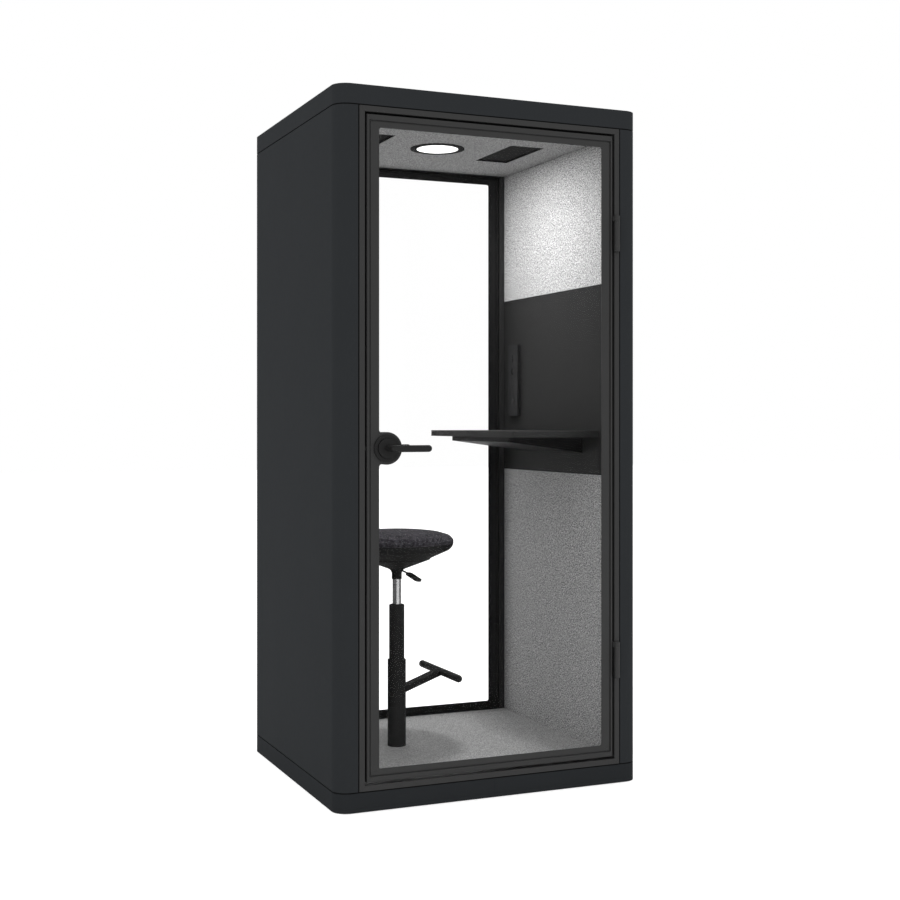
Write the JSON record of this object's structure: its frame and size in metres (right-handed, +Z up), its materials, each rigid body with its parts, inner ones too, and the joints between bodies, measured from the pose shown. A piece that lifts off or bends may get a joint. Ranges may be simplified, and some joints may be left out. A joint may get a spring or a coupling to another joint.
{
  "type": "acoustic office pod",
  "caption": "Tall upright booth with a full height glass door, a fixed rear window, felt lining, a wall table, a height adjustable stool, a round ceiling lamp and air vents.",
  "frame": {"origin": "on the floor, under the middle of the cabin's footprint, at the middle foot's underside", "axes": "+X to the right seen from the door, +Y from the door to the rear window, +Z up"},
  "size_m": [1.092, 1.0503, 2.3],
  "materials": {
    "charcoal_paint": "fine matt powder coat",
    "black_paint": "matt powder coat",
    "frame_aluminium": "matt powder coat",
    "black_aluminium": "satin coating",
    "bare_steel": "brushed",
    "bright_steel": "polished",
    "floor_board": "black coated plywood",
    "seat_board": "raw plywood",
    "table_board": "matt laminate",
    "wall_board": "matt laminate",
    "deck_board": "black coated board",
    "carpet": "needle felt carpet",
    "felt": "pressed acoustic felt",
    "core_wool": "mineral wool",
    "seat_cloth": "melange wool cloth over foam",
    "black_rubber": "matt",
    "clear_glass": "clear",
    "black_plastic": "matt",
    "opal_plastic": "opal",
    "lamp_paint": "matt dark coat"
  },
  "bodies": {
    "cabin": {"plinth_skirt": "charcoal_paint", "levelling_feet": "bare_steel", "floor_slab": "floor_board", "floor_carpet": "carpet", "side_shell_left": "charcoal_paint", "side_shell_right": "charcoal_paint", "wall_cores": "core_wool", "felt_left": "felt", "felt_right_upper": "felt", "felt_right_lower": "felt", "media_panel": "wall_board", "roof_deck": "deck_board", "roof_cap": "charcoal_paint", "ceiling_panel": "felt", "door_jamb": "frame_aluminium", "strike_plate": "black_paint", "wall_seals": "black_rubber", "rear_jamb": "frame_aluminium", "rear_sash": "frame_aluminium", "rear_bead": "frame_aluminium", "rear_glass": "clear_glass", "rear_gasket": "black_rubber", "hinge_bases": "frame_aluminium", "table_top": "table_board", "table_bracket": "black_paint", "fasteners": "black_paint", "stool_flange": "black_paint", "lower_tube": "black_paint", "upper_tube": "black_paint", "footrest": "black_paint", "guide_bush": "black_plastic", "power_strip": "black_plastic", "socket_inserts": "black_plastic", "lamp_body": "lamp_paint", "lamp_diffuser": "opal_plastic", "vent_grilles": "black_paint", "fan_frames": "black_plastic"},
    "door": {"leaf_frame": "frame_aluminium", "glazing_bead": "frame_aluminium", "door_glass": "clear_glass", "door_gasket": "black_rubber", "lock_case": "frame_aluminium", "roses": "black_aluminium", "hinge_arms": "frame_aluminium"},
    "handle": {"lever_outside": "black_aluminium", "lever_inside": "black_aluminium", "spindle": "bare_steel"},
    "latch": {"latch_bolt": "bright_steel"},
    "swivel": {"thrust_bearing": "bare_steel", "piston_rod": "bright_steel"},
    "seat": {"pressure_tube": "bright_steel", "seat_hub": "black_plastic", "seat_shell": "black_plastic", "seat_board": "seat_board", "seat_cushion": "seat_cloth"},
    "lift_lever": {"height_lever": "black_paint"},
    "light_switch": {"light_button": "black_aluminium"},
    "fan_switch": {"fan_button": "black_aluminium"},
    "left_fan": {"fan_rotor_left": "black_plastic"},
    "right_fan": {"fan_rotor_right": "black_plastic"}
  },
  "joints": [
    {"name": "door_hinge", "type": "hinge", "parent": "cabin", "child": "door", "pos_m": [0.458, -0.492, 1.15], "axis": [0, 0, 1], "range_deg": [0, 110]},
    {"name": "handle_turn", "type": "hinge", "parent": "door", "child": "handle", "pos_m": [-0.377, -0.4635, 1.15], "axis": [0, 1, 0], "range_deg": [0, 45], "stiffness_Nm_per_rad": 2, "springref_deg": -34.38},
    {"name": "latch_slide", "type": "slide", "parent": "door", "child": "latch", "axis": [1, 0, 0], "range_m": [0, 0.014]},
    {"name": "seat_swivel", "type": "hinge", "parent": "cabin", "child": "swivel", "pos_m": [-0.157, 0, 0.4], "axis": [0, 0, 1], "continuous": true},
    {"name": "seat_lift", "type": "slide", "parent": "swivel", "child": "seat", "axis": [0, 0, 1], "range_m": [-0.09, 0.05]},
    {"name": "lever_tilt", "type": "hinge", "parent": "seat", "child": "lift_lever", "pos_m": [-0.15253, -0.02103, 0.711], "axis": [-0.9781, -0.2079, 0], "range_deg": [0, 8], "stiffness_Nm_per_rad": 1, "springref_deg": -5.73},
    {"name": "light_press", "type": "slide", "parent": "cabin", "child": "light_switch", "axis": [1, 0, 0], "range_m": [0, 0.0015], "stiffness_N_per_m": 400, "springref_m": -0.001},
    {"name": "fan_press", "type": "slide", "parent": "cabin", "child": "fan_switch", "axis": [1, 0, 0], "range_m": [0, 0.0015], "stiffness_N_per_m": 400, "springref_m": -0.001},
    {"name": "left_fan_spin", "type": "hinge", "parent": "cabin", "child": "left_fan", "pos_m": [-0.286, 0, 2.25], "axis": [0, 0, 1], "continuous": true},
    {"name": "right_fan_spin", "type": "hinge", "parent": "cabin", "child": "right_fan", "pos_m": [0.286, 0, 2.25], "axis": [0, 0, 1], "continuous": true}
  ],
  "couplings": [
    {"joint": "latch_slide", "follows": "handle_turn", "m_per_rad": 0.0178}
  ]
}
